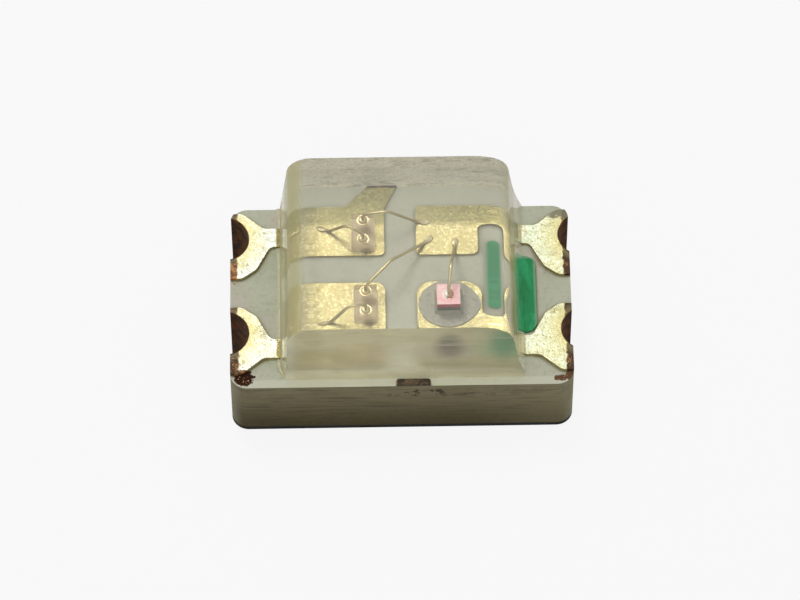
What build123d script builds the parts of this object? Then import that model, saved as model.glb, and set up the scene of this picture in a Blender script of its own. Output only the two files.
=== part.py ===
from build123d import *
import math
import os

# A top-view chip LED with three emitter dies, 2.0 x 1.25 x 1.0 mm.
# +X runs along the board, +Y to the back edge, +Z up. The origin is under the middle of the
# board, on the plane of the four solder faces. All sizes are in millimetres.

# ---- board -------------------------------------------------------------------------------
BOARD_LENGTH = 2.0
BOARD_DEPTH = 1.25
BOARD_THICKNESS = 0.45
BOARD_CORNER = 0.10
COPPER = 0.02  # foil and plating on each face
BOARD_BOTTOM = COPPER
BOARD_TOP = BOARD_BOTTOM + BOARD_THICKNESS
LAND_TOP = BOARD_TOP + COPPER

# ---- half holes in the end faces ------------------------------------------------------------
HOLE_RADIUS = 0.165
PLATING = 0.015
HOLE_PITCH = 0.662
HOLE_SHIFT = 0.074  # the drilled pattern sits nearer the back edge
HOLE_BEYOND_LEFT = 0.045  # hole centre outside the cut edge, on each side
HOLE_BEYOND_RIGHT = 0.09

# ---- copper pattern, the same for all four terminals but for its lands -------------------------
PATTERN_SHIFT = 0.024  # the etched pattern sits a little nearer the back edge
NECK_INNER = 0.325  # distances from the pattern's middle line
NECK_OUTER = 0.452
FLARE_START = 0.765  # where the neck's inner edge opens out, from the middle of the board
FLARE_START_OUTER = 0.805
FLARE_END = 0.93
FLARE_WAIST = 0.165  # the inner edge half way along the flare
EDGE_INNER = 0.103
EDGE_OUTER = 0.56
FLARE_BLEND = 0.05
LAND_INNER_BACK = 0.11
LAND_INNER_FRONT = 0.08
LEFT_LAND = (-0.62, -0.09)
COMMON_LAND = (0.095, 0.44)
RED_LAND = (0.095, 0.45)
LAND_CORNER = 0.03
NECK_CORNER = 0.045  # the inside corner where a land meets its neck
# the trace that fed the plating current, from the green land out to the sawn back edge
PLATING_TRACE = ((-0.33, 0.46), (-0.182, 0.625), (-0.012, 0.625), (-0.09, 0.46))
SOLDER_PAD_LENGTH = 0.40
SOLDER_PAD_INNER = 0.09
SOLDER_PAD_OUTER = 0.55
SOLDER_PAD_CORNER = 0.03

# ---- dies -----------------------------------------------------------------------------------
RED_DIE = (0.134, 0.140, 0.140)
RED_AT = (0.2745, -0.202)
CLEAR_DIE = (0.130, 0.222, 0.100)
GREEN_AT = (-0.215, 0.275)
BLUE_AT = (-0.204, -0.220)
PASTE_AXES = (0.172, 0.160)
PASTE_AT = (0.273, -0.213)
PASTE_THICKNESS = 0.010
PASTE_RISE = 0.030  # how far the paste climbs the side of the red die
PASTE_SLOPE = 24  # degrees that this fillet of paste leans in
GLUE_THICKNESS = 0.005
GLUE_MARGIN = 0.010
PAD_METAL = 0.004
RED_PAD_RADIUS = 0.036
CLEAR_PAD_RADIUS = 0.034
CLEAR_PAD_OFFSET = 0.066  # each contact's distance from the middle of its die

# ---- bond wires -----------------------------------------------------------------------------
WIRE = 0.020
WIRE_SIDES = 8  # a round section this thin would take most of the part's facets
BALL_RADIUS = 0.028
BALL_HEIGHT = 0.016
BALL_SIDES = 12
BALL_TAPER = 30  # degrees that its sides lean in above and below the waist
LOOP_SHOULDER = 0.080  # height above the ball where the wire turns off towards its stitch
LOOP_CREST = 0.115  # height of the loop above the ball
LOOP_CREST_AT = 0.40  # where the crest is, as a share of the run
LOOP_BENDS = (0.040, 0.070, 0.045)  # radii at the shoulder, the crest and the landing
TAIL = 0.045  # the last stretch, laid almost flat
STITCH_LENGTH = 0.062
STITCH_WIDTH = 0.040
STITCH_THICKNESS = 0.007
RED_STITCH = (0.322, 0.215)
GREEN_COMMON_STITCH = (0.150, 0.362)
GREEN_STITCH = (-0.453, 0.322)
BLUE_COMMON_STITCH = (0.168, 0.240)
BLUE_STITCH = (-0.450, -0.340)

# ---- moulded lens ---------------------------------------------------------------------------
LENS_TOP = 1.0
LENS_FRONT = -0.570
LENS_BACK = BOARD_DEPTH / 2
LENS_LEFT = (-0.708, -0.643)  # its left side at the foot, and at the top before rounding
LENS_RIGHT = (0.679, 0.625)
LEFT_SHOULDER = (0.13, 0.13)  # how far the rounding reaches along the top and down the side
LEFT_EASE = 0.55  # share of that reach before it turns: nearly an arc
RIGHT_SHOULDER = (0.23, 0.16)
RIGHT_EASE = 0.73  # it starts and ends more gently
FLASH = 0.010  # thin rim of resin along both sides
FLASH_LEFT = -0.728
FLASH_RIGHT = 0.728
FOOT_HEIGHT = 0.137  # the right side flares out below this height
FOOT_BLEND = 0.25

# ---- printed marks and tie bar ------------------------------------------------------------------
MARK = (0.465, 0.795)
MARK_Y = (-0.27, 0.262)
MARK_CORNER = 0.07
MARK_THICKNESS = 0.012
MARK_GAP = 0.014
RESIST_BAR = (0.22, 1.05)
RESIST_CORNER = 0.02
TIE_BAR_AT = 0.065
TIE_BAR_WIDTH = 0.20
TIE_BAR_LENGTH = 0.038
TIE_BAR_CORNER = 0.018

LEFT, RIGHT = -1, 1
FRONT, BACK = -1, 1


def hole_centre(side, row):
    beyond = HOLE_BEYOND_LEFT if side == LEFT else HOLE_BEYOND_RIGHT
    return (side * (BOARD_LENGTH / 2 + beyond), HOLE_SHIFT + row * HOLE_PITCH / 2)


def pattern_y(row, distance):
    return PATTERN_SHIFT + row * distance


# ---- board outline, shared by the board and the trimmed terminals --------------------------------
with BuildSketch() as outline:
    RectangleRounded(BOARD_LENGTH, BOARD_DEPTH, BOARD_CORNER)


def board_cut(height):
    """The board's plan from the solder faces up to a height, to trim what the saw trims."""
    with BuildPart(mode=Mode.PRIVATE) as block:
        with BuildSketch():
            add(outline.sketch)
        extrude(amount=height)
    return block.part


# ---- terminals: land, neck, flared end, plated half hole and solder pad, one conductor ------------
def terminal(side, row, land, land_inner, corner):
    centre = hole_centre(side, row)
    edge = side * (BOARD_LENGTH / 2 + HOLE_BEYOND_RIGHT)
    end = side * FLARE_END
    middle = sum(land) / 2
    with BuildPart() as conductor:
        with BuildSketch(Plane.XY.offset(BOARD_TOP)) as pattern:
            # the neck and its flared end, out past the cut edge
            with BuildLine():
                inner = FilletPolyline(
                    (middle, pattern_y(row, NECK_INNER)),
                    (side * FLARE_START, pattern_y(row, NECK_INNER)),
                    (side * (FLARE_START + FLARE_END) / 2, pattern_y(row, FLARE_WAIST)),
                    (end, pattern_y(row, EDGE_INNER)),
                    (edge, pattern_y(row, EDGE_INNER)),
                    radius=FLARE_BLEND,
                )
                outer = FilletPolyline(
                    (edge, pattern_y(row, EDGE_OUTER)),
                    (end, pattern_y(row, EDGE_OUTER)),
                    (side * FLARE_START_OUTER, pattern_y(row, NECK_OUTER)),
                    (middle, pattern_y(row, NECK_OUTER)),
                    radius=FLARE_BLEND,
                )
                Line(inner @ 1, outer @ 0)
                Line(outer @ 1, inner @ 0)
            make_face()
            # the land that carries a die or takes the wires
            with Locations((middle, pattern_y(row, (land_inner + NECK_OUTER) / 2))):
                RectangleRounded(land[1] - land[0], NECK_OUTER - land_inner, corner)
            inside = (land[0] if side == LEFT else land[1], pattern_y(row, NECK_INNER))
            fillet(pattern.vertices().sort_by_distance(inside)[0], NECK_CORNER)
        extrude(amount=COPPER)
        # the solder pad
        with BuildSketch():
            long_pad = SOLDER_PAD_LENGTH + HOLE_BEYOND_RIGHT
            at = side * (BOARD_LENGTH / 2 - SOLDER_PAD_LENGTH + long_pad / 2)
            with Locations((at, pattern_y(row, (SOLDER_PAD_INNER + SOLDER_PAD_OUTER) / 2))):
                RectangleRounded(long_pad, SOLDER_PAD_OUTER - SOLDER_PAD_INNER, SOLDER_PAD_CORNER)
        extrude(amount=COPPER)
        # the plated wall of the hole, then the hole through it all
        with BuildSketch():
            with Locations(centre):
                Circle(HOLE_RADIUS)
        extrude(amount=LAND_TOP)
        with BuildSketch():
            with Locations(centre):
                Circle(HOLE_RADIUS - PLATING)
        extrude(amount=LAND_TOP, mode=Mode.SUBTRACT)
        # the saw cut along the board's edges
        add(board_cut(LAND_TOP), mode=Mode.INTERSECT)
    return conductor


with BuildPart() as green_terminal:
    add(terminal(LEFT, BACK, LEFT_LAND, LAND_INNER_BACK, LAND_CORNER).part)
    with BuildSketch(Plane.XY.offset(BOARD_TOP)):
        with BuildLine():
            Polyline(*PLATING_TRACE, close=True)
        make_face()
    extrude(amount=COPPER)
with BuildPart() as blue_terminal:
    add(terminal(LEFT, FRONT, LEFT_LAND, LAND_INNER_FRONT, 2 * LAND_CORNER).part)
with BuildPart() as common_terminal:
    add(terminal(RIGHT, BACK, COMMON_LAND, LAND_INNER_BACK, LAND_CORNER).part)
with BuildPart() as red_terminal:
    add(terminal(RIGHT, FRONT, RED_LAND, LAND_INNER_FRONT, 3 * LAND_CORNER).part)

# ---- substrate: laminate with a half hole for each terminal --------------------------------------
with BuildPart() as substrate:
    with BuildSketch(Plane.XY.offset(BOARD_BOTTOM)):
        add(outline.sketch)
        for side in (LEFT, RIGHT):
            for row in (FRONT, BACK):
                with Locations(hole_centre(side, row)):
                    Circle(HOLE_RADIUS, mode=Mode.SUBTRACT)
    extrude(amount=BOARD_THICKNESS)

# ---- tie bar: what the saw left of the plating bar on the front edge -------------------------------
with BuildPart() as tie_bar_stub:
    with BuildSketch(Plane.XY.offset(BOARD_TOP)):
        with Locations((TIE_BAR_AT, -BOARD_DEPTH / 2)):
            RectangleRounded(TIE_BAR_WIDTH, 2 * TIE_BAR_LENGTH, TIE_BAR_CORNER)
    extrude(amount=COPPER)
    add(board_cut(LAND_TOP), mode=Mode.INTERSECT)

# ---- marks printed in solder resist ----------------------------------------------------------------
with BuildPart() as polarity_mark:
    with BuildSketch(Plane.XY.offset(BOARD_TOP)):
        middle = (sum(MARK) / 2, sum(MARK_Y) / 2)
        with Locations(middle):
            RectangleRounded(MARK[1] - MARK[0], MARK_Y[1] - MARK_Y[0], MARK_CORNER)
        # it keeps clear of the copper
        for piece in (red_terminal.part, common_terminal.part):
            face = piece.faces().filter_by(Axis.Z).sort_by(Axis.Z)[-1]
            offset(face, amount=MARK_GAP, mode=Mode.SUBTRACT)
    extrude(amount=MARK_THICKNESS)

with BuildPart() as resist_bar:
    with BuildSketch():
        RectangleRounded(*RESIST_BAR, RESIST_CORNER)
    extrude(amount=COPPER)


# ---- dies, their attachment and their contacts -------------------------------------------------------
def die(size, at, bottom):
    with BuildPart() as block:
        with BuildSketch(Plane.XY.offset(bottom)):
            with Locations(at):
                Rectangle(size[0], size[1])
        extrude(amount=size[2])
    return block


def glue(size, at):
    with BuildPart() as layer:
        with BuildSketch(Plane.XY.offset(LAND_TOP)):
            with Locations(at):
                Rectangle(size[0] + GLUE_MARGIN, size[1] + GLUE_MARGIN)
        extrude(amount=GLUE_THICKNESS)
    return layer


def contact(radius, at, bottom):
    with BuildPart() as disc:
        with BuildSketch(Plane.XY.offset(bottom)):
            with Locations(at):
                Circle(radius)
        extrude(amount=PAD_METAL)
    return disc


RED_BOTTOM = LAND_TOP + PASTE_THICKNESS
RED_TOP = RED_BOTTOM + RED_DIE[2]
CLEAR_BOTTOM = LAND_TOP + GLUE_THICKNESS
CLEAR_TOP = CLEAR_BOTTOM + CLEAR_DIE[2]

with BuildPart() as red_die:
    add(die(RED_DIE, RED_AT, RED_BOTTOM).part)
with BuildPart() as green_die:
    add(die(CLEAR_DIE, GREEN_AT, CLEAR_BOTTOM).part)
with BuildPart() as blue_die:
    add(die(CLEAR_DIE, BLUE_AT, CLEAR_BOTTOM).part)

# the silver paste spreads in a flat oval and climbs the sides of the red die
with BuildPart() as red_paste:
    with BuildSketch(Plane.XY.offset(LAND_TOP)):
        with Locations(PASTE_AT):
            Ellipse(*PASTE_AXES)
    extrude(amount=PASTE_THICKNESS)
    with BuildSketch(Plane.XY.offset(RED_BOTTOM)):
        with Locations(RED_AT):
            RectangleRounded(RED_DIE[0] + PASTE_RISE, RED_DIE[1] + PASTE_RISE, PASTE_RISE / 3)
    extrude(amount=PASTE_RISE, taper=PASTE_SLOPE)
    add(red_die.part, mode=Mode.SUBTRACT)

with BuildPart() as green_glue:
    add(glue(CLEAR_DIE, GREEN_AT).part)
with BuildPart() as blue_glue:
    add(glue(CLEAR_DIE, BLUE_AT).part)

RED_BALL = RED_AT
GREEN_FRONT_BALL = (GREEN_AT[0], GREEN_AT[1] - CLEAR_PAD_OFFSET)
GREEN_BACK_BALL = (GREEN_AT[0], GREEN_AT[1] + CLEAR_PAD_OFFSET)
BLUE_FRONT_BALL = (BLUE_AT[0], BLUE_AT[1] - CLEAR_PAD_OFFSET)
BLUE_BACK_BALL = (BLUE_AT[0], BLUE_AT[1] + CLEAR_PAD_OFFSET)

with BuildPart() as red_contact:
    add(contact(RED_PAD_RADIUS, RED_BALL, RED_TOP).part)
with BuildPart() as green_front_contact:
    add(contact(CLEAR_PAD_RADIUS, GREEN_FRONT_BALL, CLEAR_TOP).part)
with BuildPart() as green_back_contact:
    add(contact(CLEAR_PAD_RADIUS, GREEN_BACK_BALL, CLEAR_TOP).part)
with BuildPart() as blue_front_contact:
    add(contact(CLEAR_PAD_RADIUS, BLUE_FRONT_BALL, CLEAR_TOP).part)
with BuildPart() as blue_back_contact:
    add(contact(CLEAR_PAD_RADIUS, BLUE_BACK_BALL, CLEAR_TOP).part)


# ---- bond wires: a squashed ball, a loop that rises, bends and falls, and a flattened stitch ---------
def bond_wire(ball, die_top, stitch):
    run = Vector(stitch[0] - ball[0], stitch[1] - ball[1])
    way = run.normalized()
    angle = math.degrees(math.atan2(way.Y, way.X))
    foot = die_top + PAD_METAL
    above = foot + BALL_HEIGHT
    crest = Vector(ball[0], ball[1]) + run * LOOP_CREST_AT
    landing = Vector(stitch[0], stitch[1]) - way * TAIL
    with BuildPart() as wire:
        with BuildLine():
            FilletPolyline(
                (ball[0], ball[1], foot + BALL_HEIGHT / 2),
                (ball[0], ball[1], above + LOOP_SHOULDER),
                (crest.X, crest.Y, above + LOOP_CREST),
                (landing.X, landing.Y, LAND_TOP + WIRE / 2),
                (stitch[0], stitch[1], LAND_TOP + WIRE / 4),
                radius=LOOP_BENDS,
            )
        with BuildSketch(Plane.XY.offset(foot + BALL_HEIGHT / 2)):
            with Locations(ball):
                RegularPolygon(WIRE / 2, WIRE_SIDES)
        sweep()
        # the squashed ball, with its rims turned in
        with BuildSketch(Plane.XY.offset(foot + BALL_HEIGHT / 2)) as waist:
            with Locations(ball):
                RegularPolygon(BALL_RADIUS, BALL_SIDES)
        for direction in (1, -1):
            extrude(waist.sketch, amount=direction * BALL_HEIGHT / 2, taper=BALL_TAPER)
        # the stitch, pressed flat along the run of the wire
        with BuildSketch(Plane.XY.offset(LAND_TOP)):
            with Locations(stitch):
                SlotOverall(STITCH_LENGTH, STITCH_WIDTH, rotation=angle)
        extrude(amount=STITCH_THICKNESS)
        split(bisect_by=Plane.XY.offset(LAND_TOP), keep=Keep.TOP)
    return wire


with BuildPart() as red_wire:
    add(bond_wire(RED_BALL, RED_TOP, RED_STITCH).part)
with BuildPart() as green_common_wire:
    add(bond_wire(GREEN_BACK_BALL, CLEAR_TOP, GREEN_COMMON_STITCH).part)
with BuildPart() as green_wire:
    add(bond_wire(GREEN_FRONT_BALL, CLEAR_TOP, GREEN_STITCH).part)
with BuildPart() as blue_common_wire:
    add(bond_wire(BLUE_BACK_BALL, CLEAR_TOP, BLUE_COMMON_STITCH).part)
with BuildPart() as blue_wire:
    add(bond_wire(BLUE_FRONT_BALL, CLEAR_TOP, BLUE_STITCH).part)

# ---- lens: clear resin cast over the dies and wires, drafted sides and rounded shoulders --------------
EMBEDDED = (
    green_terminal, blue_terminal, common_terminal, red_terminal, polarity_mark,
    red_paste, green_glue, blue_glue, red_die, green_die, blue_die, red_contact,
    green_front_contact, green_back_contact, blue_front_contact, blue_back_contact,
    red_wire, green_common_wire, green_wire, blue_common_wire, blue_wire,
)


def shoulder(foot, crest, reach, ease):
    """Control points of the rounding between a drafted side and the flat top."""
    inward = -1 if crest[0] > 0 else 1
    down = Vector(foot[0] - crest[0], foot[1] - crest[1]).normalized()
    corner = Vector(*crest)
    start = corner + down * reach[1]
    end = corner + Vector(inward * reach[0], 0)
    return start, start + (corner - start) * ease, end + (corner - end) * ease, end


with BuildPart() as lens:
    with BuildSketch(Plane.XZ.offset(-LENS_BACK)) as profile:
        with BuildLine():
            right_foot = (LENS_RIGHT[0], BOARD_TOP + FOOT_HEIGHT)
            left_foot = (LENS_LEFT[0], BOARD_TOP + FLASH)
            right_crest, left_crest = (LENS_RIGHT[1], LENS_TOP), (LENS_LEFT[1], LENS_TOP)
            right = Bezier(*shoulder(right_foot, right_crest, RIGHT_SHOULDER, RIGHT_EASE))
            left = Bezier(*shoulder(left_foot, left_crest, LEFT_SHOULDER, LEFT_EASE))
            Line(right @ 1, left @ 1)
            FilletPolyline(
                right @ 0, right_foot, (FLASH_RIGHT, BOARD_TOP + FLASH), radius=FOOT_BLEND,
            )
            Polyline(
                (FLASH_RIGHT, BOARD_TOP + FLASH),
                (FLASH_RIGHT, BOARD_TOP),
                (FLASH_LEFT, BOARD_TOP),
                (FLASH_LEFT, BOARD_TOP + FLASH),
                left_foot,
                left @ 0,
            )
        make_face()
    extrude(amount=LENS_BACK - LENS_FRONT)
    for piece in EMBEDDED:
        add(piece.part, mode=Mode.SUBTRACT)

# ---- labels and files -----------------------------------------------------------------------------------
os.makedirs("parts", exist_ok=True)

substrate.part.label = "substrate"
export_step(substrate.part, "parts/substrate.step")
green_terminal.part.label = "green_terminal"
export_step(green_terminal.part, "parts/green_terminal.step")
blue_terminal.part.label = "blue_terminal"
export_step(blue_terminal.part, "parts/blue_terminal.step")
common_terminal.part.label = "common_terminal"
export_step(common_terminal.part, "parts/common_terminal.step")
red_terminal.part.label = "red_terminal"
export_step(red_terminal.part, "parts/red_terminal.step")
tie_bar_stub.part.label = "tie_bar_stub"
export_step(tie_bar_stub.part, "parts/tie_bar_stub.step")
polarity_mark.part.label = "polarity_mark"
export_step(polarity_mark.part, "parts/polarity_mark.step")
resist_bar.part.label = "resist_bar"
export_step(resist_bar.part, "parts/resist_bar.step")
red_die.part.label = "red_die"
export_step(red_die.part, "parts/red_die.step")
green_die.part.label = "green_die"
export_step(green_die.part, "parts/green_die.step")
blue_die.part.label = "blue_die"
export_step(blue_die.part, "parts/blue_die.step")
red_paste.part.label = "red_paste"
export_step(red_paste.part, "parts/red_paste.step")
green_glue.part.label = "green_glue"
export_step(green_glue.part, "parts/green_glue.step")
blue_glue.part.label = "blue_glue"
export_step(blue_glue.part, "parts/blue_glue.step")
red_contact.part.label = "red_contact"
export_step(red_contact.part, "parts/red_contact.step")
green_front_contact.part.label = "green_front_contact"
export_step(green_front_contact.part, "parts/green_front_contact.step")
green_back_contact.part.label = "green_back_contact"
export_step(green_back_contact.part, "parts/green_back_contact.step")
blue_front_contact.part.label = "blue_front_contact"
export_step(blue_front_contact.part, "parts/blue_front_contact.step")
blue_back_contact.part.label = "blue_back_contact"
export_step(blue_back_contact.part, "parts/blue_back_contact.step")
red_wire.part.label = "red_wire"
export_step(red_wire.part, "parts/red_wire.step")
green_common_wire.part.label = "green_common_wire"
export_step(green_common_wire.part, "parts/green_common_wire.step")
green_wire.part.label = "green_wire"
export_step(green_wire.part, "parts/green_wire.step")
blue_common_wire.part.label = "blue_common_wire"
export_step(blue_common_wire.part, "parts/blue_common_wire.step")
blue_wire.part.label = "blue_wire"
export_step(blue_wire.part, "parts/blue_wire.step")
lens.part.label = "lens"
export_step(lens.part, "parts/lens.step")
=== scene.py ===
import math

import bmesh
import bpy
from bpy.props import FloatProperty, FloatVectorProperty, IntProperty, PointerProperty
from mathutils import Matrix, Vector


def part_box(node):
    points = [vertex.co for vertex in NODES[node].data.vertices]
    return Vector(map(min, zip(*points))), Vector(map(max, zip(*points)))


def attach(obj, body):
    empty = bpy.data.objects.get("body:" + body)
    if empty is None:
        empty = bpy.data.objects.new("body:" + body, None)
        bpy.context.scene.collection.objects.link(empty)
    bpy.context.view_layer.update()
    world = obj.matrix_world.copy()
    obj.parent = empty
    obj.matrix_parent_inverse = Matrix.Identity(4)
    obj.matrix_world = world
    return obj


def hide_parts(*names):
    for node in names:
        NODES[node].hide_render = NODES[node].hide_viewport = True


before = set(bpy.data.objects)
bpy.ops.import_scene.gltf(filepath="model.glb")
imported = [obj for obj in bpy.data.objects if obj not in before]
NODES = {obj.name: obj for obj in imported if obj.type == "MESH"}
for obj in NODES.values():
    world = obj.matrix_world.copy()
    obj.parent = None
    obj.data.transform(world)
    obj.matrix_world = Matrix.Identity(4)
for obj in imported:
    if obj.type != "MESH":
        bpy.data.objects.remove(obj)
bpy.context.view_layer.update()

bl_info = {
    "name": "Chip LED Dresser",
    "version": (1, 0, 0),
    "blender": (4, 5, 0),
    "location": "3D View > Sidebar > Chip LED",
    "description": "Dresses a four-terminal chip LED: resin lens, bond wires, plating and board",
    "category": "Object",
}

MM = 0.001
TERMINALS = ("green_terminal", "blue_terminal", "common_terminal", "red_terminal")
CONTACTS = (
    "red_contact", "green_front_contact", "green_back_contact",
    "blue_front_contact", "blue_back_contact",
)
WIRE_RUNS = {  # the contact that each wire's ball sits on, and where its stitch lands, in mm
    "red_wire": ("red_contact", (0.322, 0.215)),
    "green_common_wire": ("green_back_contact", (0.150, 0.362)),
    "green_wire": ("green_front_contact", (-0.453, 0.322)),
    "blue_common_wire": ("blue_back_contact", (0.168, 0.240)),
    "blue_wire": ("blue_front_contact", (-0.450, -0.340)),
}
WIRE_START = 0.008 * MM  # over the contact, inside the ball
BALL_TOP = 0.016 * MM  # over the contact, from where the heights of a loop are counted
LANDING = 0.045  # mm before the stitch, where the wire comes down on the land
STITCH = (1.6, 1.05, 0.35)  # half length, half width and half height, in thicknesses of the wire
HOLES = ((-1.045, 0.405), (-1.045, -0.257), (1.09, 0.405), (1.09, -0.257))  # axes, in mm
HOLE_RADIUS = 0.165  # mm, outside the plating
SMUDGES = (  # middles of the smeared corners, and their reach in x and y, in mm
    (-0.920, -0.558, 0.056, 0.050), (0.925, -0.582, 0.040, 0.020), (0.982, -0.556, 0.026, 0.075),
)
BRIGHT_TEARS = (  # where the saw tore the copper: limits in x and y, and height, in mm
    (-0.985, -0.955, 0.125, 0.240, 0.489), (0.955, 0.985, -0.500, -0.430, 0.489),
    (-0.985, -0.960, -0.500, -0.430, 0.489),
)
DARK_TEARS = (  # and where the torn copper has gone brown
    (-0.985, -0.965, 0.085, 0.118, 0.470), (-0.985, -0.950, -0.530, -0.430, 0.489),
    (-0.950, -0.880, -0.595, -0.545, 0.469), (0.962, 0.988, -0.530, -0.430, 0.489),
    (0.890, 0.945, -0.600, -0.572, 0.469), (0.890, 0.940, 0.530, 0.560, 0.488),
)
CHIP_BEVEL = 0.003 * MM
CHIP_SUNK = 0.0015 * MM  # how far a clear chip is sunk into its glue
RESIN_IOR = 1.54
FILLET_REACHES = (0.085 * MM, 0.11 * MM)  # of the easing, down to the flash and up the side
FILLET_EASE = 0.55
FILLET_STEPS = 6
BREAK_LEAN = 0.6  # how far the broken side leans in by its top, as a share of what is gone
BREAK_LEDGE = 0.5  # how far the flash under it stands out, as a share of its thickness
SHARPEST_SMOOTH = math.radians(25)
FLOOR_REACH = 0.3
FLOOR_SHADED = 0.06  # the share of the floor's colour that takes the shadow
CLOTH = (0.62, 0.62, 0.62)  # the floor as the object is lit by it
KEY_AZIMUTH, KEY_ELEVATION = math.radians(30), math.radians(65)
KEY_DISTANCE, KEY_SIZE = 31 * MM, 9 * MM
AIM = Vector((-0.0037, 0.0262, 0.3871)) * MM  # the point that the camera faces


def paint(red, green, blue):
    """A display colour, 0 to 255, as the linear colour that the shaders take."""
    return tuple(
        (c / 12.92 if c <= 0.04045 else ((c + 0.055) / 1.055) ** 2.4)
        for c in (red / 255, green / 255, blue / 255)
    )


# ---- sizes and colours ----


def number(name, description, default, **more):
    """A number that the user can change."""
    return FloatProperty(name=name, description=description, default=default, **more)


def length(name, description, default):
    """A length that the user can change, its default in mm."""
    return number(name, description, default * MM, unit="LENGTH", precision=6)


def factor(name, description, default, least, most):
    """A share that the user can change between limits."""
    return number(name, description, default, subtype="FACTOR", min=least, max=most)


def angle(name, description, default):
    """An angle that the user can change, its default in degrees."""
    return number(name, description, math.radians(default), subtype="ANGLE")


def pigment(name, description, default):
    """A colour that the user can change."""
    return FloatVectorProperty(
        name=name, description=description, subtype="COLOR", default=default,
    )


class LensSizes(bpy.types.PropertyGroup):
    left_foot: length("Left foot", "Where the left side meets the flash", -0.708)
    left_crest: length("Left crest", "Where the left side meets the top, before rounding", -0.643)
    right_foot: length("Right foot", "Where the right side meets its fillet", 0.679)
    right_crest: length("Right crest", "Where the right side meets the top, before rounding", 0.625)
    fillet_height: length("Fillet height", "Height of the fillet at the foot of the right side", 0.137)
    break_length: length("Break length", "How far back from the front the foot has broken away", 0.085)
    break_height: length("Break height", "How far up the left side the break runs out", 0.37)
    broken_foot: length("Broken foot", "Where the left foot is left at the front", -0.679)
    broken_flash: length("Broken flash", "How much flash is left at the front on the right", 0.033)
    left_along: length("Left along", "Reach of the left shoulder along the top", 0.13)
    left_down: length("Left down", "Reach of the left shoulder down the side", 0.13)
    right_along: length("Right along", "Reach of the right shoulder along the top", 0.23)
    right_down: length("Right down", "Reach of the right shoulder down the side", 0.16)
    left_ease: factor("Left ease", "How gently the left shoulder begins to turn", 0.55, 0.3, 1.0)
    right_ease: factor("Right ease", "How gently the right shoulder begins to turn", 0.73, 0.3, 1.0)
    flash: length("Flash", "Thickness of the rim of resin along both sides", 0.01)
    sunk: length("Sunk", "How far the resin keys into the board", 0.002)


class WireSizes(bpy.types.PropertyGroup):
    thickness: length("Thickness", "Diameter of the gold wire", 0.020)
    ball: length("Ball", "Diameter of the squashed ball", 0.056)
    ball_height: length("Ball height", "Height of the squashed ball", 0.018)
    shoulder: length("Shoulder", "Height above the ball where the wire turns off", 0.080)
    crest: length("Crest", "Height of the loop above the ball", 0.115)
    crest_at: factor("Crest at", "Where the crest is, as a share of the run", 0.40, 0.1, 0.9)
    bend: length("Bend", "Radius of the bends of the loop", 0.060)


class BurrSizes(bpy.types.PropertyGroup):
    density: number("Density", "Chips of torn copper in a square metre", 4.0e9)
    size: length("Size", "Reach of a middling chip", 0.007)
    seed: IntProperty(name="Seed", description="Order of the chips", default=7)


class Colours(bpy.types.PropertyGroup):
    laminate: pigment("Laminate", "Face of the board", paint(184, 186, 165))
    laminate_edge: pigment("Laminate edge", "Sawn edge of the board", paint(135, 128, 98))
    # Its default is paler than gold: painted glare.
    gold: pigment("Gold plate", "Gold flash over nickel", (0.450, 0.482, 0.458))
    copper: pigment("Bare copper", "Copper laid open by the saw", paint(176, 124, 78))
    resist: pigment("Resist", "Green solder resist", paint(28, 130, 76))
    resin_haze: pigment("Resin haze", "Faint milkiness of the clear resin", paint(200, 202, 190))


class Stage(bpy.types.PropertyGroup):
    background: pigment("Background", "Pale colour of the floor and backdrop", paint(249, 249, 249))
    fill: number("Fill", "Strength of the even light from all round", 0.615)
    key: number(
        "Key", "Power of the soft light behind and above", 0.0033, unit="POWER", precision=5,
    )
    camera_azimuth: angle("Azimuth", "How far the camera stands to the left of straight on", 0.69)
    camera_elevation: angle("Elevation", "Height of the camera above the horizon", 56.79)
    camera_roll: angle("Roll", "Turn of the camera about its own axis", -0.27)
    camera_distance: length("Distance", "From the camera to the point that it aims at", 29.64)
    camera_lens: number("Lens", "Focal length in millimetres", 226.6)


GROUPS = {
    "chip_lens": LensSizes, "chip_wires": WireSizes, "chip_burrs": BurrSizes,
    "chip_colours": Colours, "chip_stage": Stage,
}


# ---- node trees written as Python ----


class Signal:
    """A node's output that Python arithmetic works on. Each operation adds its Math node."""

    def __init__(self, graph, socket):
        self.graph, self.socket = graph, socket

    def also(self, output):
        """Another output of the same node."""
        return Signal(self.graph, self.socket.node.outputs[output])

    def __add__(self, other):
        return self.graph.math("ADD", self, other)

    def __sub__(self, other):
        return self.graph.math("SUBTRACT", self, other)

    def __rsub__(self, other):
        return self.graph.math("SUBTRACT", other, self)

    def __mul__(self, other):
        return self.graph.math("MULTIPLY", self, other)

    def __truediv__(self, other):
        return self.graph.math("DIVIDE", self, other)

    def __abs__(self):
        return self.graph.math("ABSOLUTE", self)

    __radd__ = __add__
    __rmul__ = __mul__


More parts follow.
